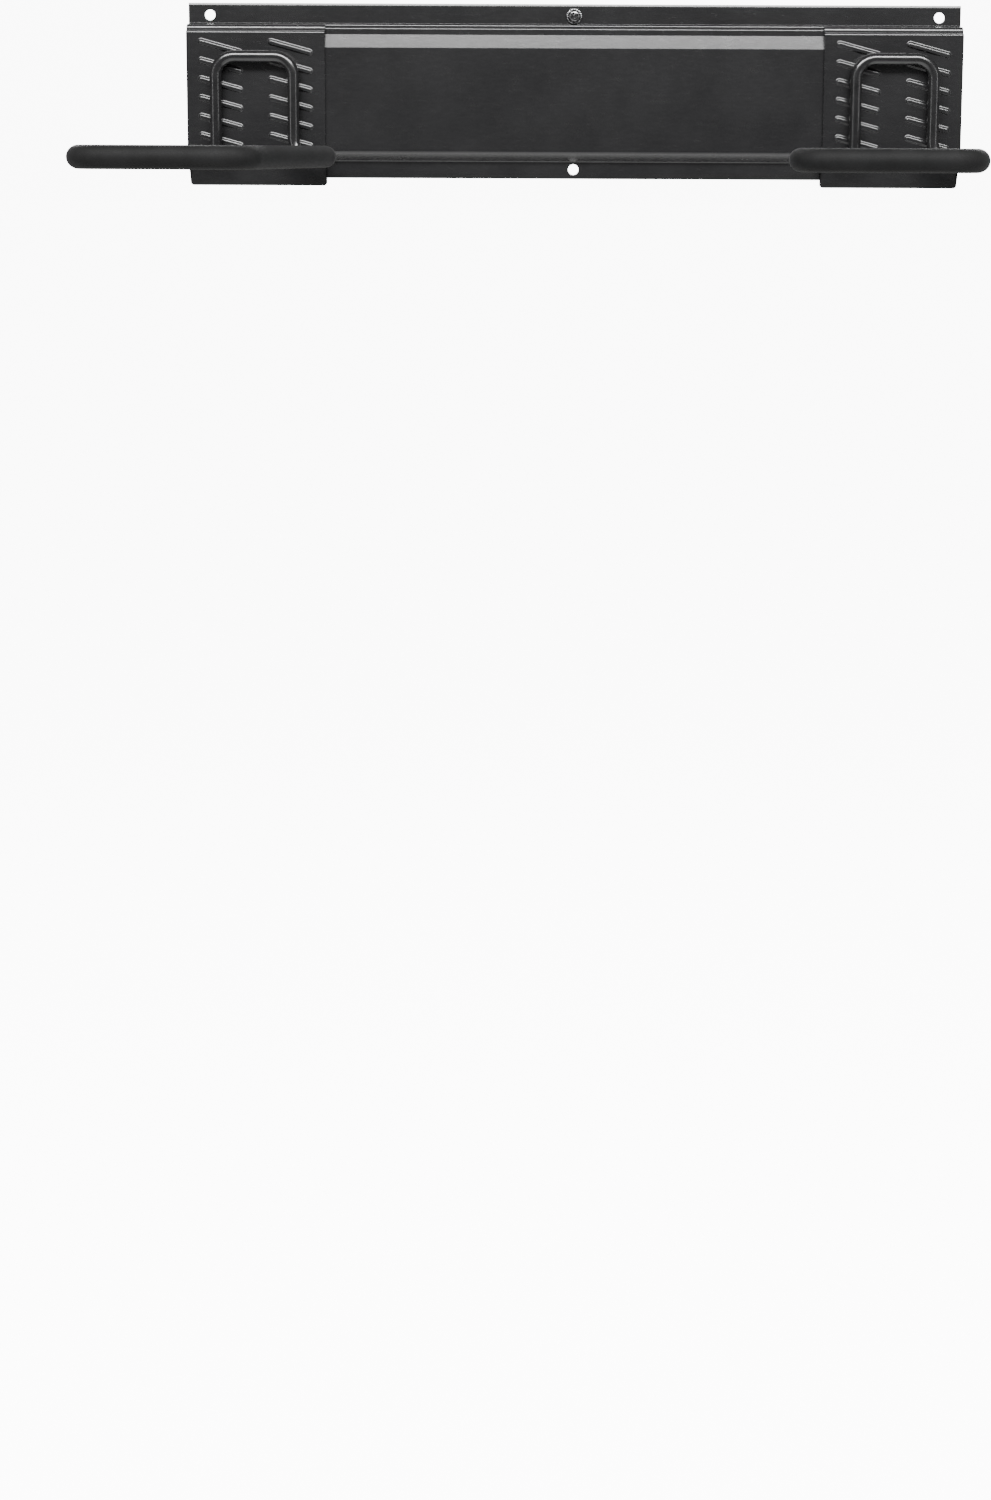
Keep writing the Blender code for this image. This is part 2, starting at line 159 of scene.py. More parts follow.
# Weld beads
WELD_RADIUS = 1.6
WELD_OUT = WELD_RADIUS * 0.7  # from the plate, and from the rod's skin, to the bead's middle
WELD_SIDES = 14
WELD_RIPPLE = 0.07
WELD_RIPPLE_PITCH = 1.6
BAR_WELD_LENGTH = 12.0
LEG_WELD_LENGTH = 4.6
LEG_WELD_ROW = 4  # the leg welds lie below this rib, counted from the top one as 0

# Wall screw
HEAD_RADIUS = 6.5
HEAD_HEIGHT = 3.6
SHANK_RADIUS = 3.0
SCREW_LENGTH = 45.0
THREAD_PITCH = 2.4
THREAD_DEPTH = 0.6
TAPER_EACH_TURN = 0.8
FLANGE_TOP = 1.3
DOME_STEPS = 8
SERRATIONS = 24
SERRATION_HEIGHT = 0.22
RECESS_ARM = 4.0
RECESS_HALF_WIDTH = 0.85
RECESS_TURN = 0.35  # radians

# Shading of flat faces
SMOOTH_ANGLE = math.radians(40)
FLAT_WEIGHT = 100

# Studio, in metres and watts
ROOM_SEEN = 10.0
ROOM_LIGHT = 0.17
FLOOR_SIZE = 60.0
FLOOR_Z = -1.9
BOX_LENGTH = 3.4
STRIP_SIZE = (0.3, 1.6)
STRIP_POWER = 12.0

# Camera: sensor and lens in mm, place in metres, turns in degrees
SENSOR_WIDTH = 36.0
LENS = 39.4536
LENS_SHIFT = (-0.02, -0.32)
CAMERA_PLACE = (-0.03348, -1.4, -0.00989)
CAMERA_YAW = 0.273
CAMERA_PITCH = 5.779
CAMERA_ROLL = 0.259


# ---------------------------------------------------------------- materials


class Nodes:
    """Adds nodes to a material and links them."""

    def __init__(self, name):
        self.made = bpy.data.materials.new(name)
        self.made.use_nodes = True
        self.tree = self.made.node_tree
        self.shader = self.tree.nodes["Principled BSDF"]

    def add(self, kind, **values):
        node = self.tree.nodes.new(kind)
        for key, value in values.items():
            if key in node.inputs:
                node.inputs[key].default_value = value
            else:
                setattr(node, key, value)
        return node

    def link(self, source, target):
        self.tree.links.new(source, target)

    def noise(self, scale, detail=3.0, roughness=0.5, stretch=None):
        """Noise in the piece's own coordinates, at so many features for each metre."""
        place = self.add("ShaderNodeTexCoord").outputs["Object"]
        if stretch:
            mapping = self.add("ShaderNodeMapping", Scale=stretch)
            self.link(place, mapping.inputs["Vector"])
            place = mapping.outputs["Vector"]
        node = self.add("ShaderNodeTexNoise", Scale=scale, Detail=detail, Roughness=roughness)
        self.link(place, node.inputs["Vector"])
        return node.outputs["Fac"]

    def ramp(self, source, low, high, start=0.35, end=0.65):
        """Turns a noise into values, or colours, between low and high."""
        node = self.add("ShaderNodeValToRGB")
        for element, place, value in zip(node.color_ramp.elements, (start, end), (low, high)):
            element.position = place
            element.color = (*value, 1.0) if isinstance(value, tuple) else (value, value, value, 1.0)
        self.link(source, node.inputs["Fac"])
        return node.outputs["Color"]

    def bump(self, layers):
        """Chains bumps from (height, distance in mm, strength) and joins them to the shader."""
        normal = None
        for height, distance, strength in layers:
            node = self.add("ShaderNodeBump", Distance=distance * MM, Strength=strength)
            self.link(height, node.inputs["Height"])
            if normal:
                self.link(normal, node.inputs["Normal"])
            normal = node.outputs["Normal"]
        self.link(normal, self.shader.inputs["Normal"])

    def set(self, **values):
        for key, value in values.items():
            self.shader.inputs[key.replace("_", " ")].default_value = value


def powder_coat():
    """Satin black powder coat: a fine orange peel, slow gloss changes and a few faint scuffs."""
    nodes = Nodes("powder_coat")
    slow = nodes.noise(22.0, 2.0)
    grain = nodes.noise(2600.0, 2.0)
    scuffs = nodes.noise(90.0, 6.0, 0.7, stretch=(1.0, 1.0, 3.5))
    colour = nodes.ramp(slow, (0.0055, 0.0055, 0.0058), (0.0075, 0.0075, 0.0078))
    nodes.link(colour, nodes.shader.inputs["Base Color"])
    gloss = nodes.ramp(scuffs, 0.24, 0.29, 0.4, 0.75)
    nodes.link(gloss, nodes.shader.inputs["Roughness"])
    nodes.bump([(slow, 0.25, 0.1), (grain, 0.02, 0.35)])
    nodes.set(Specular_IOR_Level=0.5)
    return nodes.made


def rod_coat():
    """The same paint on the rod, a little smoother where hands and tyres pass."""
    nodes = Nodes("rod_coat")
    slow = nodes.noise(40.0, 2.0)
    grain = nodes.noise(2200.0, 2.0)
    colour = nodes.ramp(slow, (0.005, 0.005, 0.0052), (0.007, 0.007, 0.0072))
    nodes.link(colour, nodes.shader.inputs["Base Color"])
    gloss = nodes.ramp(nodes.noise(120.0, 4.0), 0.2, 0.26)
    nodes.link(gloss, nodes.shader.inputs["Roughness"])
    nodes.bump([(grain, 0.02, 0.3)])
    return nodes.made


def foam():
    """Closed-cell foam: matte, faintly mottled, with fine pores and a dusty sheen at grazing angles."""
    nodes = Nodes("foam_skin")
    mottle = nodes.noise(60.0, 4.0, 0.6)
    pores = nodes.noise(1800.0, 4.0, 0.65)
    skin = nodes.noise(420.0, 3.0)
    colour = nodes.ramp(mottle, (0.0035, 0.0035, 0.0035), (0.0055, 0.0055, 0.0056))
    nodes.link(colour, nodes.shader.inputs["Base Color"])
    nodes.link(nodes.ramp(pores, 0.62, 0.78), nodes.shader.inputs["Roughness"])
    nodes.bump([(skin, 0.12, 0.25), (pores, 0.06, 0.5)])
    nodes.set(Specular_IOR_Level=0.11, Sheen_Weight=0.05, Sheen_Roughness=0.4)
    nodes.set(Sheen_Tint=(0.8, 0.8, 0.82, 1.0))
    return nodes.made


def moulded_plastic():
    """Moulded black plastic with a fine spark-eroded texture."""
    nodes = Nodes("moulded_plastic")
    grain = nodes.noise(1500.0, 3.0)
    colour = nodes.ramp(grain, (0.012, 0.012, 0.012), (0.016, 0.016, 0.016))
    nodes.link(colour, nodes.shader.inputs["Base Color"])
    nodes.link(nodes.ramp(nodes.noise(160.0, 3.0), 0.42, 0.55), nodes.shader.inputs["Roughness"])
    nodes.bump([(grain, 0.04, 0.4)])
    return nodes.made


def zinc():
    """Zinc-plated steel with turning marks and darker stains."""
    nodes = Nodes("zinc_steel")
    stain = nodes.noise(260.0, 5.0, 0.65)
    marks = nodes.noise(900.0, 2.0, 0.5, stretch=(1.0, 6.0, 1.0))
    colour = nodes.ramp(stain, (0.02, 0.02, 0.021), (0.22, 0.22, 0.225))
    nodes.link(colour, nodes.shader.inputs["Base Color"])
    nodes.link(nodes.ramp(marks, 0.18, 0.38), nodes.shader.inputs["Roughness"])
    nodes.bump([(marks, 0.05, 0.4)])
    nodes.set(Metallic=1.0)
    return nodes.made


# ---------------------------------------------------------------- shapes


def to_mesh(name, shape):
    """A mesh in metres from a bmesh in millimetres, with its faces pointing out."""
    bmesh.ops.scale(shape, vec=(MM, MM, MM), verts=shape.verts)
    bmesh.ops.recalc_face_normals(shape, faces=shape.faces)
    mesh = bpy.data.meshes.new(name)
    shape.to_mesh(mesh)
    shape.free()
    return mesh


def smooth(mesh):
    """Smooth shading, but for the sharp edges."""
    mesh.shade_smooth()
    mesh.set_sharp_from_angle(angle=SMOOTH_ANGLE)


def flatten_faces(piece):
    """Flat shading across large flat faces whose edges are rounded."""
    step = piece.modifiers.new("flat_faces", "WEIGHTED_NORMAL")
    step.keep_sharp = True
    step.weight = FLAT_WEIGHT


def finish_piece(name, shape, material, body, replaced, centre=(0.0, 0.0, 0.0), flat=False):
    """An object from a bmesh: painted, riding on its body, in place of its CAD node."""
    mesh = to_mesh(name, shape)
    mesh.materials.append(material)
    smooth(mesh)
    piece = bpy.data.objects.new(name, mesh)
    piece.location = Vector(centre) * MM
    bpy.context.collection.objects.link(piece)
    if flat:
        flatten_faces(piece)
    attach(piece, body)
    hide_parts(*replaced)
    return piece


def rounded_path(corners, radii, steps):
    """The corner points joined by straight runs, with each inner corner rounded to its radius."""
    points = [Vector(corners[0])]
    for before, corner, after, radius in zip(corners, corners[1:], corners[2:], radii):
        corner = Vector(corner)
        back = (Vector(before) - corner).normalized()
        ahead = (Vector(after) - corner).normalized()
        half_angle = back.angle(ahead) / 2
        run = radius / math.tan(half_angle)
        centre = corner + (back + ahead).normalized() * (radius / math.sin(half_angle))
        start = corner + back * run - centre
        turn = math.pi - 2 * half_angle
        axis = back.cross(ahead).normalized()
        for step in range(steps + 1):
            point = centre + Matrix.Rotation(-turn * step / steps, 3, axis) @ start
            if (point - points[-1]).length > SAME_POINT:
                points.append(point)
    points.append(Vector(corners[-1]))
    return points


def in_section(*pairs):
    """Points in the YZ section from (distance out of the wall, height) pairs."""
    return [Vector((0.0, -out, height)) for out, height in pairs]


def round_cap(thickness, radius, steps=4):
    """A rounded free edge, as (across, beyond) pairs from the back to the front of the sheet."""
    side = []
    for step in range(1, steps + 1):
        angle = math.pi / 2 * step / steps
        side.append((1 - 2 * radius / thickness * (1 - math.cos(angle)), radius * math.sin(angle)))
    return side + [(-across, beyond) for across, beyond in side[::-1]]


def sheet_outline(path, thickness, inset, first_cap, last_cap, lift):
    """The closed (y, z) outline of a bent sheet, drawn in by inset, its last edge raised by lift."""
    half = thickness / 2 - inset
    back, front, ends = [], [], []
    last = len(path) - 1
    for index, point in enumerate(path):
        tangents = []
        if index > 0:
            tangents.append((point - path[index - 1]).normalized())
        if index < last:
            tangents.append((path[index + 1] - point).normalized())
        tangent = sum(tangents, Vector()).normalized()
        normal = Vector((0.0, -tangent.z, tangent.y))
        reach = half / max(0.5, tangent.dot(tangents[0]))
        if index == last:
            point = point - tangent * lift
        back.append(point + normal * reach)
        front.append(point - normal * reach)
        if index in (0, last):
            cap, way = (first_cap, -1) if index == 0 else (last_cap, 1)
            ends.append([point + normal * (a * half) + tangent * (way * (b - inset)) for a, b in cap])
    outline = back + ends[1] + front[::-1] + ends[0][::-1]
    return [(p.y, p.z) for p in outline]


def bent_sheet(path, thickness, stations, first_cap, last_cap):
    """A bmesh of a bent sheet, lofted through (x, inset, lift) stations, and its rings of vertices."""
    made = bmesh.new()
    rings = []
    for x, inset, lift in stations:
        outline = sheet_outline(path, thickness, inset, first_cap, last_cap, lift)
        rings.append([made.verts.new((x, y, z)) for y, z in outline])
    loft(made, rings, ends=(0, -1))
    return made, rings


def bridge(made, first, second):
    """Quads between two closed rings with as many vertices each."""
    for index in range(len(first)):
        after = (index + 1) % len(first)
        made.faces.new((first[index], first[after], second[after], second[index]))


def loft(made, rings, ends=()):
    """Quads between each ring and the next, and a face over each end ring, given by its index."""
    for first, second in zip(rings, rings[1:]):
        bridge(made, first, second)
    for end in ends:
        made.faces.new(rings[end])


def end_stations(half_length, corner=0.0, steps=8):
    """Stations (x, inset, lift) along a sheet: rounded side edges, and a rounded lower corner."""
    side = []
    for step in range(EDGE_STEPS + 1):
        angle = math.pi / 2 * step / EDGE_STEPS
        side.append((EDGE_ROUND * (1 - math.cos(angle)), EDGE_ROUND * (1 - math.sin(angle))))
    if corner:
        for step in range(1, steps + 1):
            side.append((EDGE_ROUND + (corner - EDGE_ROUND) * (step / steps) ** 1.6, 0.0))
    near = []
    for inward, inset in side:
        lift = corner - math.sqrt(max(0.0, corner**2 - (corner - inward) ** 2))
        near.append((inward - half_length, inset, lift))
    return near + [(-x, inset, lift) for x, inset, lift in near[::-1]]


def rail_path():
    """The rail's middle surface, from its top edge down to its bottom edge."""
    half = RAIL_SHEET / 2
    channel_back = half + RAIL_SHEET
    lip_back = channel_back + RAIL_SHEET + CHANNEL_WIDTH
    lip_front = lip_back + 2 * FOLD_RADIUS
    joggle = RAIL_TOP - TOP_FLANGE
    face = RAIL_FACE - half
    corners = in_section(
        (half, RAIL_TOP - COINED_EDGE),
        (half, joggle),
        (channel_back, joggle - RAIL_SHEET),
        (channel_back, CHANNEL_FLOOR),
        (lip_back, CHANNEL_FLOOR),
        (lip_back, LIP_TOP - half),
        (lip_front, LIP_TOP - half),
        (lip_front, UPPER_BEVEL[0]),
        (face, UPPER_BEVEL[1]),
        (face, LOWER_BEVEL_START),
        (half, LOWER_BEVEL_END),
        (half, RAIL_BOTTOM + EDGE_ROUND),
    )
    small = RAIL_SHEET * 0.7
    fold = FOLD_RADIUS * 0.999
    floor = CHANNEL_WIDTH / 2
    bevels = (BEVEL_RADIUS * 0.5, BEVEL_RADIUS, BEVEL_RADIUS)
    radii = (small, small, floor, floor, fold, fold, small, *bevels)
    return rounded_path(corners, radii, BEND_STEPS)


def hole_punch(x, z):
    """A cutter for one screw hole, with a rounded rim on the front face."""
    made = bmesh.new()
    rings = []
    profile = [(4.0, HOLE_RADIUS)]
    for step in range(HOLE_RIM_STEPS + 1):
        angle = math.pi / 2 * step / HOLE_RIM_STEPS
        out = -RAIL_SHEET + HOLE_RIM_DEPTH * (1 - math.sin(angle))
        profile.append((out, HOLE_RADIUS + HOLE_RIM * (1 - math.cos(angle))))
    profile = sorted(profile, key=lambda pair: -pair[0])
    profile.append((-RAIL_SHEET - 1.0, profile[-1][1] + 0.4))
    for y, radius in profile:
        ring = []
        for index in range(ROUND_SIDES):
            angle = 2 * math.pi * index / ROUND_SIDES
            ring.append(made.verts.new((x + radius * math.cos(angle), y, z + radius * math.sin(angle))))
        rings.append(ring)
    loft(made, rings, ends=(0, -1))
    return made


def make_rail(material):
    """The rail: rounded edges, a thinned top edge, tight bends and four rimmed screw holes."""
    coined = [
        (1.0, COINED_EDGE - 0.2),
        (0.8, COINED_EDGE),
        (-0.15, COINED_EDGE),
        (-0.4, COINED_EDGE - 0.25),
        (-0.9, 0.35),
    ]
    stations = end_stations(HALF_LENGTH)
    rounded = round_cap(RAIL_SHEET, EDGE_ROUND)
    shape, _ = bent_sheet(rail_path(), RAIL_SHEET, stations, coined, rounded)
    cutters = []
    for number, (x, z) in enumerate(HOLES):
        mesh = to_mesh(f"punch_{number}", hole_punch(x, z))
        cutters.append(bpy.data.objects.new(mesh.name, mesh))
    rail = finish_piece("rail_sheet", shape, material, "rail", ["rail"])
    return cut_and_bake(rail, cutters)


def cut_and_bake(piece, cutters):
    """Cuts the cutters out of a piece, keeps the result as its mesh and shades it again."""
    for cutter in cutters:
        bpy.context.collection.objects.link(cutter)
        step = piece.modifiers.new(cutter.name, "BOOLEAN")
        step.operation = "DIFFERENCE"
        step.solver = "EXACT"
        step.object = cutter
    bpy.context.view_layer.update()
    graph = bpy.context.evaluated_depsgraph_get()
    mesh = bpy.data.meshes.new_from_object(piece.evaluated_get(graph))
    piece.modifiers.clear()
    piece.data = mesh
    for cutter in cutters:
        bpy.data.objects.remove(cutter)
    smooth(mesh)
    flatten_faces(piece)
    return piece


def plate_path():
    """The hook plate's middle surface, from the lip in the rail's channel down to the tongue."""
    half = PLATE_SHEET / 2
    channel_back = 2 * RAIL_SHEET
    lip_back = channel_back + CHANNEL_WIDTH / 2
    strip = channel_back + CHANNEL_WIDTH + RAIL_SHEET + 2 * FOLD_RADIUS + GAP + half
    top = LIP_TOP + GAP + half
    ledge = LIP_TOP - LEDGE_DROP
    offset = RAIL_SHEET / 2 + GAP + half
    slope = math.atan2(RAIL_FACE - RAIL_SHEET, LOWER_BEVEL_START - LOWER_BEVEL_END)
    drop = offset * math.tan(slope / 2)
    corners = in_section(
        (lip_back, LIP_TOP - LIP_DEPTH + EDGE_ROUND),
        (lip_back, top),
        (strip, top),
        (strip, ledge + half / 2),
        (PLATE_BACK + half, ledge - half / 2),
        (PLATE_BACK + half, LOWER_BEVEL_START - drop),
        (RAIL_SHEET + GAP + half, LOWER_BEVEL_END - drop),
        (RAIL_SHEET + GAP + half, PLATE_BOTTOM + EDGE_ROUND),
    )
    over = (strip - lip_back) / 2 * 0.999
    radii = (over, over, LEDGE_RADIUS, LEDGE_RADIUS, BEVEL_RADIUS + offset, BEVEL_RADIUS - offset)
    return rounded_path(corners, radii, BEND_STEPS)


def rib_rings(made, centre_x, centre_z):
    """The rings of one pressed rib: a long slope above, a rounded crown and a steep drop below."""
    rings = []
    straight = RIB_LENGTH / 2 - RIB_HALF_WIDTH
    tilt = Matrix.Rotation(RIB_TILT, 2)
    for step in range(RIB_STEPS + 1):
        s = step / RIB_STEPS
        height = RIB_HEIGHT * (s - math.sin(2 * math.pi * s) / (2 * math.pi))
        upper = RIB_HALF_WIDTH - RIB_UPPER_SLOPE * s
        lower = -RIB_HALF_WIDTH + RIB_LOWER_DROP * s
        half_width, shift = (upper - lower) / 2, (upper + lower) / 2
        ring = []
        for way in (1, -1):
            for turn in range(RIB_ROUND_STEPS + 1):
                angle = math.pi * turn / RIB_ROUND_STEPS - math.pi / 2
                along = way * (straight + half_width * math.cos(angle))
                across = shift + way * half_width * math.sin(angle)
                place = tilt @ Vector((along, across))
                point = (centre_x + place.x, -PLATE_FRONT - height, centre_z + place.y)
                ring.append(made.verts.new(point))
        rings.append(ring)
    loft(made, rings, ends=(-1,))
    return rings[0]


def fill_round_holes(made, outer, holes):
    """Fills a flat outline in the XZ plane with triangles, leaving the holes open."""
    verts = outer + [vert for hole in holes for vert in hole]
    loops, start = [], 0
    for loop in [outer, *holes]:
        loops.append(list(range(start, start + len(loop))))
        start += len(loop)
    flat = [Vector((vert.co.x, vert.co.z)) for vert in verts]
    _, _, faces, sources, _, _ = delaunay_2d_cdt(flat, [], loops, 1, 1e-5)
    owner = {index: number for number, loop in enumerate(loops[1:]) for index in loop}
    for face in faces:
        corners = [sources[index][0] for index in face]
        rings = {owner.get(index) for index in corners}
        if rings == {owner.get(corners[0])} and None not in rings:
            continue
        made.faces.new([verts[index] for index in corners])


def make_plate(side, material):
    """A hook plate, with its ribs raised out of the front face."""
    path = plate_path()
    stations = end_stations(PLATE_WIDTH / 2, TONGUE_CORNER)
    cap = round_cap(PLATE_SHEET, EDGE_ROUND)
    shape, rings = bent_sheet(path, PLATE_SHEET, stations, cap, cap)
    runs = [(path[index] - path[index + 1]).length for index in range(len(path) - 1)]
    face_start = runs.index(max(runs))
    front_top = len(path) + len(cap) + (len(path) - 1 - face_start)
    flat_rings = [ring for ring, station in zip(rings, stations) if station[1] < 1e-6]
    tops = [ring[front_top] for ring in flat_rings]
    bottoms = [ring[front_top - 1] for ring in flat_rings]
    for index in range(len(flat_rings) - 1):
        corners = {tops[index], tops[index + 1], bottoms[index], bottoms[index + 1]}
        face = next(face for face in tops[index].link_faces if set(face.verts) == corners)
        bmesh.ops.delete(shape, geom=[face], context="FACES_ONLY")
    holes = []
    for row in range(RIB_ROWS):
        for column in (-1, 1):
            holes.append(rib_rings(shape, column * RIB_X, RIB_TOP - row * RIB_PITCH))
    fill_round_holes(shape, tops + bottoms[::-1], holes)
    name = f"{side}_tread_plate"
    centre = (HOOK_X[side], 0.0, 0.0)
    replaced = [f"{side}_hook_plate"]
    body = f"{side}_hook"
    return finish_piece(name, shape, material, body, replaced, centre, flat=True)


def path_frames(path):
    """A tangent and two cross directions at each point of a path, carried along without twist."""
    frames, side = [], None
    for index, point in enumerate(path):
        ahead = path[min(index + 1, len(path) - 1)] - point
        behind = point - path[max(index - 1, 0)]
        tangent = (ahead.normalized() + behind.normalized()).normalized()
        if side is None:
            side = tangent.orthogonal().normalized()
        side = (side - tangent * side.dot(tangent)).normalized()
        frames.append((point, tangent, side, tangent.cross(side)))
    return frames


def ring_at(made, frame, radius, along=0.0):
    """A ring of vertices round a frame, moved along its tangent."""
    point, tangent, side, up = frame
    ring = []
    for index in range(ROD_SIDES):
        angle = 2 * math.pi * index / ROD_SIDES
        spoke = side * math.cos(angle) + up * math.sin(angle)
        ring.append(made.verts.new(point + tangent * along + spoke * radius))
    return ring


def rod(frames, radius, bore=0.0, rim=ROD_RIM):
    """A bmesh rod along a path's frames, or a sleeve when it has a bore, with rounded ends."""
    made = bmesh.new()
    turns = [math.pi / 2 * step / ROD_RIM_STEPS for step in range(ROD_RIM_STEPS + 1)]
    rounding = [(radius - rim * (1 - math.sin(angle)), rim * (1 - math.cos(angle))) for angle in turns]
    rings = [ring_at(made, frames[0], wide, along) for wide, along in rounding]
    rings += [ring_at(made, frame, radius) for frame in frames[1:-1]]
    rings += [ring_at(made, frames[-1], wide, -along) for wide, along in rounding[::-1]]
    if bore:
        inner = [ring_at(made, frame, bore) for frame in frames]
        rings = inner[:1] + rings + inner[:0:-1]
        rings.append(rings[0])
    loft(made, rings, ends=() if bore else (0, -1))
    return made


def arm_point(x, out):
    """A point of the arm, which climbs a little as it leaves the wall."""
    return Vector((x, -out, ARM_ROOT + ARM_RISE * (out - ROD_DEPTH)))


def rod_frames():
    """The frames along the whole rod, and the stretch of them that the foam covers."""
    corners = [
        Vector((-LEG_X, -ROD_DEPTH, LEFT_LEG_END)),
        Vector((-LEG_X, -ROD_DEPTH, BAR_Z)),
        Vector((LEG_X, -ROD_DEPTH, BAR_Z)),
        arm_point(LEG_X, ROD_DEPTH),
        arm_point(*FLARE),
        arm_point(FRONT_X[0], ARM_REACH),
        arm_point(FRONT_X[1], ARM_REACH),
        arm_point(TIP_X, ARM_REACH - TIP_RETURN),
    ]
    radii = (BAR_CORNER, BAR_CORNER, ELBOW_RADIUS, ARM_RADIUS, ARM_RADIUS, ARM_RADIUS)
    path = rounded_path(corners, radii, ROD_STEPS)
    elbow_end = 3 * (ROD_STEPS + 1)
    away = (path[elbow_end + 1] - path[elbow_end]).normalized()
    back = (path[-2] - path[-1]).normalized()
    path.insert(elbow_end + 1, path[elbow_end] + away * FOAM_START)
    path.insert(-1, path[-1] + back * (CAP_BORE_DEPTH + GAP))
    frames = path_frames(path)
    return frames, frames[elbow_end + 1 : -1]


def end_cap(frame):
    """The moulded cap: a short skirt with a moulding line, and a domed end."""
    made = bmesh.new()
    mouth = GAP - CAP_BORE_DEPTH
    dome = CAP_LENGTH - CAP_BORE_DEPTH
    bore = ROD_RADIUS + GAP
    profile = [(bore, GAP), (bore, mouth + 0.4), (bore + 0.4, mouth), (FOAM_RADIUS - 0.5, mouth)]
    profile += [(FOAM_RADIUS - 0.15, mouth + 0.15), (FOAM_RADIUS, mouth + 0.5), (FOAM_RADIUS, -0.9)]
    profile += [(FOAM_RADIUS - 0.25, -0.7), (FOAM_RADIUS - 0.25, -0.4), (FOAM_RADIUS, -0.2)]
    for step in range(CAP_DOME_STEPS):
        angle = math.pi / 2 * step / CAP_DOME_STEPS
        profile.append((FOAM_RADIUS * math.cos(angle), GAP + dome * math.sin(angle)))
    rings = [ring_at(made, frame, radius, along) for radius, along in profile]
    loft(made, rings, ends=(0, -1))
    return made


def weld_bead(length, place):
    """A weld bead lying along X: a row of overlapping ripples that taper at both ends."""
    made = bmesh.new()
    rings = []
    steps = max(12, round(length * 4))
    for step in range(steps + 1):
        t = step / steps
        taper = max(0.0, 1 - abs(2 * t - 1) ** 4) ** 0.5
        ripple = 1 + WELD_RIPPLE * math.sin(t * length * 2 * math.pi / WELD_RIPPLE_PITCH)
        radius = WELD_RADIUS * (0.15 + 0.85 * taper) * ripple
        ring = []
        for index in range(WELD_SIDES):
            angle = 2 * math.pi * index / WELD_SIDES
            point = (length * (t - 0.5), radius * math.cos(angle), radius * math.sin(angle))
            ring.append(made.verts.new(point))
        rings.append(ring)
    loft(made, rings, ends=(0, -1))
    bmesh.ops.transform(made, matrix=place, verts=made.verts)
    return made


def make_welds(side, material):
    """The weld beads round the top bar and both legs."""
    out = PLATE_FRONT + WELD_OUT
    offset = math.sqrt((ROD_RADIUS + WELD_OUT) ** 2 - (ROD_DEPTH - out) ** 2)
    places = {}
    for word, way in (("lower", -1), ("upper", 1)):
        place = Matrix.Translation((0.0, -out, BAR_Z + way * offset))
        places[f"bar_{word}"] = (BAR_WELD_LENGTH, place)
    upright = Matrix.Rotation(math.pi / 2, 4, "Y")
    between = RIB_TOP - (LEG_WELD_ROW + 0.5) * RIB_PITCH
    for leg_word, leg in (("left", -1), ("right", 1)):
        for word, way in (("outer", leg), ("inner", -leg)):
            x = leg * LEG_X + way * offset
            z = between + math.tan(RIB_TILT) * (x - leg * RIB_X)
            place = Matrix.Translation((x, -out, z)) @ upright
            places[f"{leg_word}_leg_{word}"] = (LEG_WELD_LENGTH, place)
    for word, (length, place) in places.items():
        finish_piece(
            f"{side}_{word}_bead",
            weld_bead(length, place),
            material,
            f"{side}_hook",
            [f"{side}_weld_{word}"],
            (HOOK_X[side], 0.0, 0.0),
        )


def make_hook(side, paint, rod_paint, foam_skin, plastic):
    """The pieces of one hook."""
    body, centre = f"{side}_hook", (HOOK_X[side], 0.0, 0.0)
    make_plate(side, paint)
    whole, covered = rod_frames()
    finish_piece(
        f"{side}_bent_rod",
        rod(whole, ROD_RADIUS),
        rod_paint,
        body,
        [f"{side}_hook_rod"],
        centre,
    )
    sleeve = finish_piece(
        f"{side}_arm_foam",
        rod(covered, FOAM_RADIUS, ROD_RADIUS + GAP, FOAM_RIM),
        foam_skin,
        body,
        [f"{side}_foam_sleeve"],
        centre,
    )
    finish_piece(
        f"{side}_arm_cap",
        end_cap(whole[-1]),
        plastic,
        body,
        [f"{side}_end_cap"],
        centre,
    )
    make_welds(side, paint)


def lathe(profile, sides=ROUND_SIDES):
    """A bmesh turned about Z from (radius, z) pairs; the first and last pairs are on the axis."""
    made = bmesh.new()
    rings = []
    for radius, z in profile[1:-1]:
        ring = []
        for index in range(sides):
            angle = 2 * math.pi * index / sides
            ring.append(made.verts.new((radius * math.cos(angle), radius * math.sin(angle), z)))
        rings.append(ring)
    loft(made, rings)
    for ring, (_, z) in ((rings[0], profile[0]), (rings[-1], profile[-1])):
        tip = made.verts.new((0.0, 0.0, z))
        for index in range(sides):
            made.faces.new((ring[index], ring[(index + 1) % sides], tip))
    return made


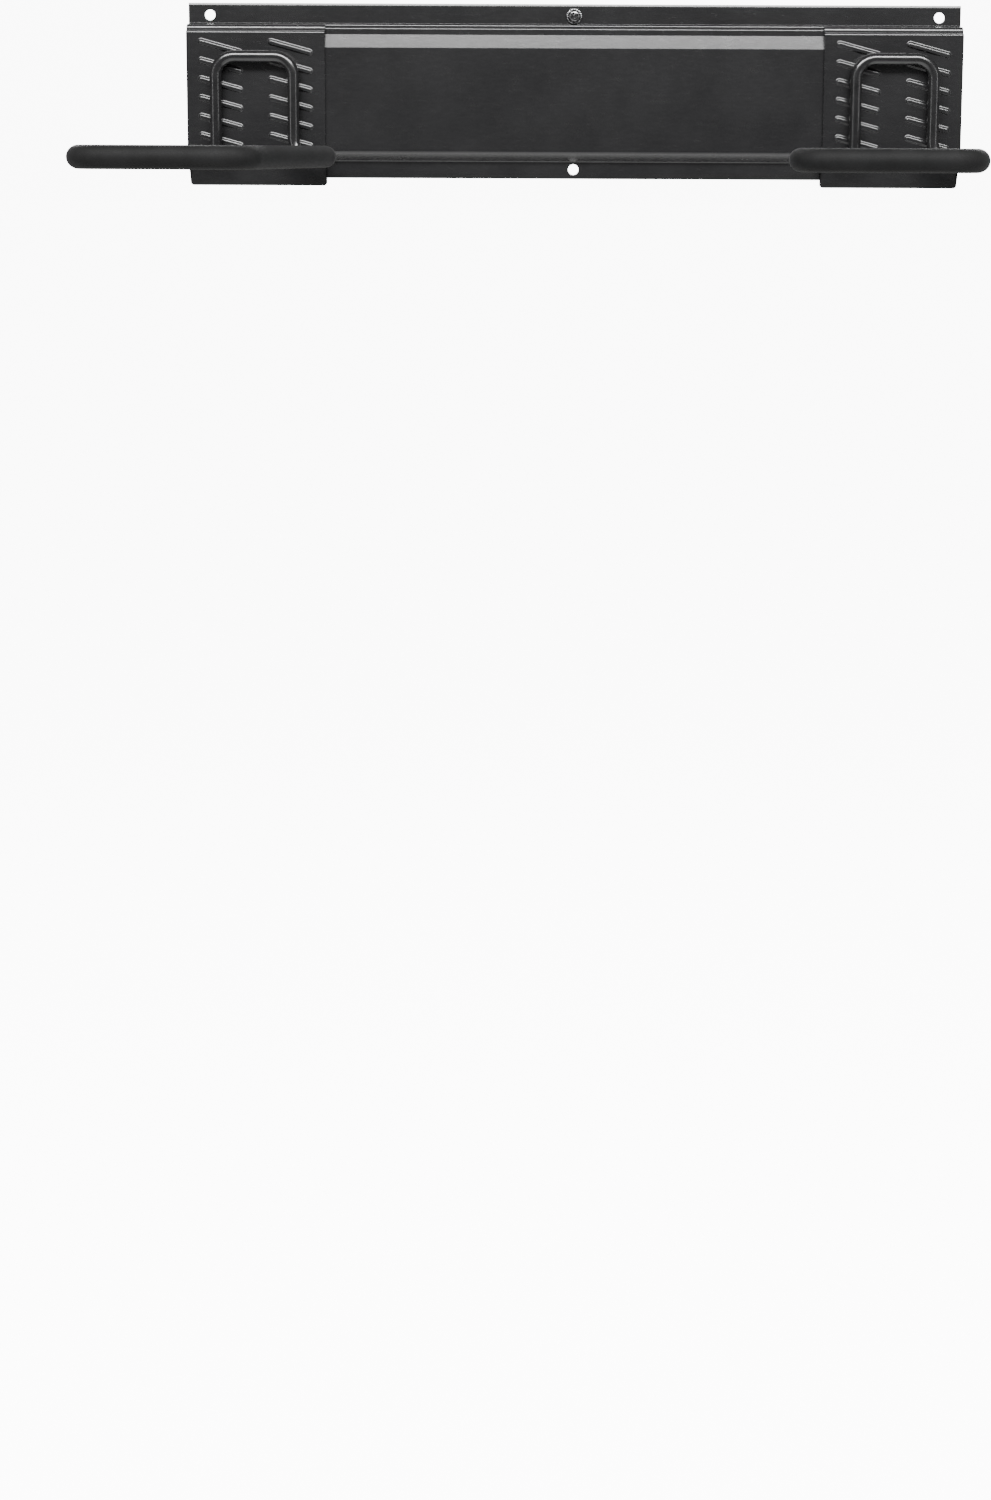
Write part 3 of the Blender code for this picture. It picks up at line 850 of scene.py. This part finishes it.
def make_screw(material):
    """The wall screw: a serrated flange, a domed head with a cross recess and a threaded shank."""
    seat = Matrix.Translation((0.0, -(RAIL_SHEET + GAP), HOLES[1][1]))
    place = seat @ Matrix.Rotation(math.pi / 2, 4, "X")
    profile = [(0.0, -SCREW_LENGTH), (0.5, 1.5 - SCREW_LENGTH)]
    turns = int((SCREW_LENGTH - 10.0) / THREAD_PITCH)
    for turn in range(turns):
        z = 6.0 - SCREW_LENGTH + turn * THREAD_PITCH
        core = min(SHANK_RADIUS - THREAD_DEPTH, 1.0 + turn * TAPER_EACH_TURN)
        crest = (core + THREAD_DEPTH, z + 0.25 * THREAD_PITCH)
        profile += [(core, z), crest, (core, z + 0.5 * THREAD_PITCH)]
    profile += [(SHANK_RADIUS, -2.0), (SHANK_RADIUS, 0.0), (HEAD_RADIUS - 0.2, 0.0), (HEAD_RADIUS, 0.2)]
    profile += [(HEAD_RADIUS, 0.7), (HEAD_RADIUS - 0.25, 0.95)]
    profile += [(HEAD_RADIUS - 1.1, 1.05), (HEAD_RADIUS - 1.3, FLANGE_TOP)]
    dome_radius = HEAD_RADIUS - 1.4
    dome_height = HEAD_HEIGHT - FLANGE_TOP
    for step in range(DOME_STEPS + 1):
        angle = math.radians(12 + 70 * step / DOME_STEPS)
        height = FLANGE_TOP + dome_height * math.sin(angle)
        profile.append((dome_radius * math.cos(angle) ** 0.6, height))
    profile += [(2.0, HEAD_HEIGHT), (0.0, HEAD_HEIGHT)]
    shape = lathe(profile)
    for vert in shape.verts:
        radius = math.hypot(vert.co.x, vert.co.y)
        if radius > HEAD_RADIUS - 1.2 and vert.co.z > 0.5:
            angle = math.atan2(vert.co.y, vert.co.x)
            vert.co.z += SERRATION_HEIGHT * math.sin(angle * SERRATIONS)
    bmesh.ops.transform(shape, matrix=place, verts=shape.verts)
    screw = finish_piece("pan_head_screw", shape, material, "rail", ["mounting_screw"])
    cutters = []
    for name, quarter in (("across", 0.0), ("upright", math.pi / 2)):
        wedge = bmesh.new()
        outline = [(-RECESS_ARM, 0.6), (RECESS_ARM, 0.6), (1.6, -2.3), (0.0, -1.9), (-1.6, -2.3)]
        rings = []
        for y in (-RECESS_HALF_WIDTH, RECESS_HALF_WIDTH):
            rings.append([wedge.verts.new((x, y, z + HEAD_HEIGHT)) for x, z in outline])
        loft(wedge, rings, ends=(0, -1))
        turn = Matrix.Rotation(quarter + RECESS_TURN, 4, "Z")
        bmesh.ops.transform(wedge, matrix=place @ turn, verts=wedge.verts)
        cutters.append(bpy.data.objects.new(name, to_mesh(name, wedge)))
    return cut_and_bake(screw, cutters)


# ---------------------------------------------------------------- studio


def area_light(name, place, size, power):
    """A white soft box at a place, facing the rack's middle."""
    data = bpy.data.lights.new(name, "AREA")
    data.shape = "RECTANGLE"
    data.size, data.size_y = size
    data.energy = power
    lamp = bpy.data.objects.new(name, data)
    lamp.location = place
    lamp.rotation_euler = (-Vector(place)).to_track_quat("-Z", "Y").to_euler()
    bpy.context.collection.objects.link(lamp)


def seen_or_lit(tree, target, seen, lit):
    """One strength for what is looked at directly and one for the light it gives."""
    path = tree.nodes.new("ShaderNodeLightPath")
    mix = tree.nodes.new("ShaderNodeMapRange")
    mix.inputs["To Min"].default_value = lit
    mix.inputs["To Max"].default_value = seen
    tree.links.new(path.outputs["Is Camera Ray"], mix.inputs["Value"])
    tree.links.new(mix.outputs["Result"], target)


def make_studio():
    """A pale world, a pale floor far below and soft boxes in front, at the sides and behind."""
    world = bpy.data.worlds.new("pale_room")
    world.use_nodes = True
    background = world.node_tree.nodes["Background"]
    background.inputs["Color"].default_value = (1.0, 1.0, 1.0, 1.0)
    seen_or_lit(world.node_tree, background.inputs["Strength"], ROOM_SEEN, ROOM_LIGHT)
    bpy.context.scene.world = world

    bpy.ops.mesh.primitive_plane_add(size=FLOOR_SIZE, location=(0.0, 0.0, FLOOR_Z))
    floor = bpy.context.object
    floor.name = "studio_floor"
    nodes = Nodes("floor_white")
    nodes.set(Base_Color=(0.9, 0.9, 0.9, 1.0), Roughness=0.9)
    nodes.set(Emission_Color=(1.0, 1.0, 1.0, 1.0))
    seen_or_lit(nodes.tree, nodes.shader.inputs["Emission Strength"], ROOM_SEEN, 0.0)
    floor.data.materials.append(nodes.made)

    area_light("front_top_box", (0.0, -2.2, 1.15), (BOX_LENGTH, 0.42), 14.0)
    area_light("high_box", (0.0, -1.8, 1.62), (BOX_LENGTH, 0.5), 320.0)
    area_light("back_box", (0.0, 2.2, 1.1), (BOX_LENGTH, 0.8), 160.0)
    for name, x in (("left_strip", -2.2), ("right_strip", 2.2)):
        area_light(name, (x, -1.6, 0.1), STRIP_SIZE, STRIP_POWER)


def make_camera():
    """A nearly frontal view, tilted down a little, with the lens shifted to set the rack high up."""
    data = bpy.data.cameras.new("photo_view")
    data.sensor_width = SENSOR_WIDTH
    data.lens = LENS
    data.shift_x, data.shift_y = LENS_SHIFT
    camera = bpy.data.objects.new("photo_view", data)
    yaw, pitch, roll = (math.radians(angle) for angle in (CAMERA_YAW, CAMERA_PITCH, CAMERA_ROLL))
    aim = Matrix.Rotation(yaw, 4, "Z") @ Matrix.Rotation(math.pi / 2 - pitch, 4, "X")
    turn = aim @ Matrix.Rotation(roll, 4, "Z")
    camera.matrix_world = Matrix.Translation(CAMERA_PLACE) @ turn
    bpy.context.collection.objects.link(camera)
    bpy.context.scene.camera = camera


paint, rod_paint, foam_skin, plastic = powder_coat(), rod_coat(), foam(), moulded_plastic()
make_rail(paint)
make_screw(zinc())
for side in SIDES:
    make_hook(side, paint, rod_paint, foam_skin, plastic)
make_studio()
make_camera()
